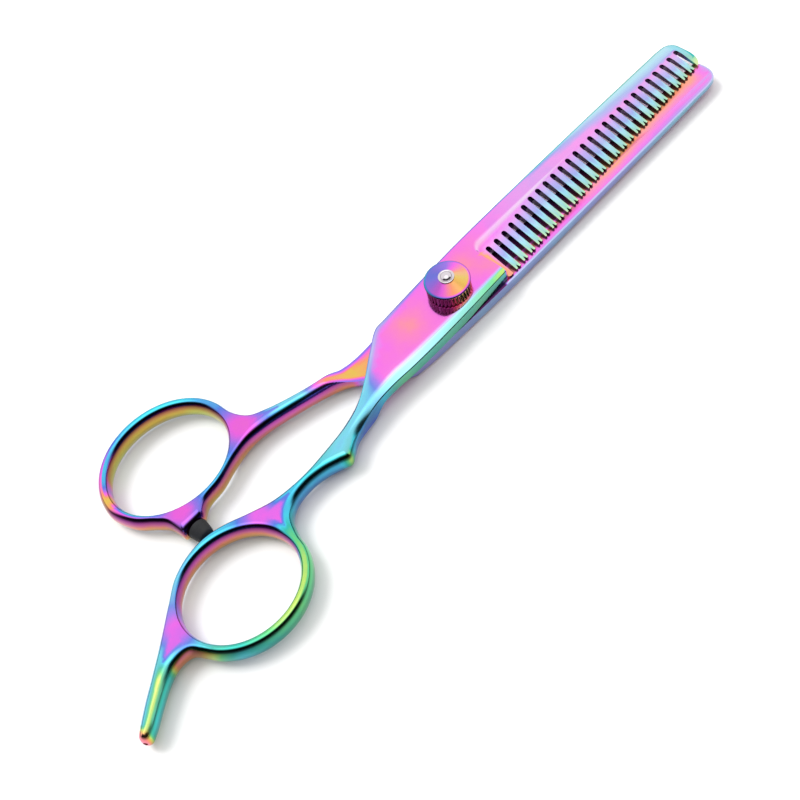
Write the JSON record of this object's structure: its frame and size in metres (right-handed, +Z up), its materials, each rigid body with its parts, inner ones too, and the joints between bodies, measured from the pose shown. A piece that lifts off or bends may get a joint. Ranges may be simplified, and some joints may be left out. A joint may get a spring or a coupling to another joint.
{
  "type": "thinning shears",
  "caption": "Hairdresser's thinning shears, closed: a toothed comb half over a straight half on a dial-adjusted pivot, with offset finger rings, a finger rest tang and a rubber bumper.",
  "frame": {"origin": "on the pivot axis, at the flat underside the shears rest on", "axes": "+X along the closed blades from the pivot to the tips, +Z up along the pivot towards the dial, +Y towards the comb half's spine and the thumb ring"},
  "size_m": [0.1756, 0.0547, 0.0108],
  "materials": {
    "coated_steel": "mirror polish under an iridescent coating, magenta on the flats, blue to green on rounded edges",
    "coated_dial": "polished under the same iridescent coating",
    "plain_steel": "bright",
    "spring_steel": "satin",
    "nylon": "natural",
    "rubber": "matte black"
  },
  "bodies": {
    "straight_side": {"straight_half": "coated_steel", "pivot_bolt": "plain_steel", "friction_washer": "nylon", "disc_spring": "spring_steel", "click_plate": "spring_steel", "retaining_screw": "plain_steel", "bumper": "rubber"},
    "comb_side": {"comb_half": "coated_steel", "pivot_bush": "nylon"},
    "dial": {"dial_nut": "coated_dial"}
  },
  "joints": [
    {"name": "blade_pivot", "type": "hinge", "parent": "straight_side", "child": "comb_side", "pos_m": [0, 0, 0.003], "axis": [0, 0, 1], "range_deg": [0, 70]},
    {"name": "tension_dial", "type": "hinge", "parent": "straight_side", "child": "dial", "pos_m": [0, 0, 0.008], "axis": [0, 0, 1], "range_deg": [-90, 90]}
  ]
}
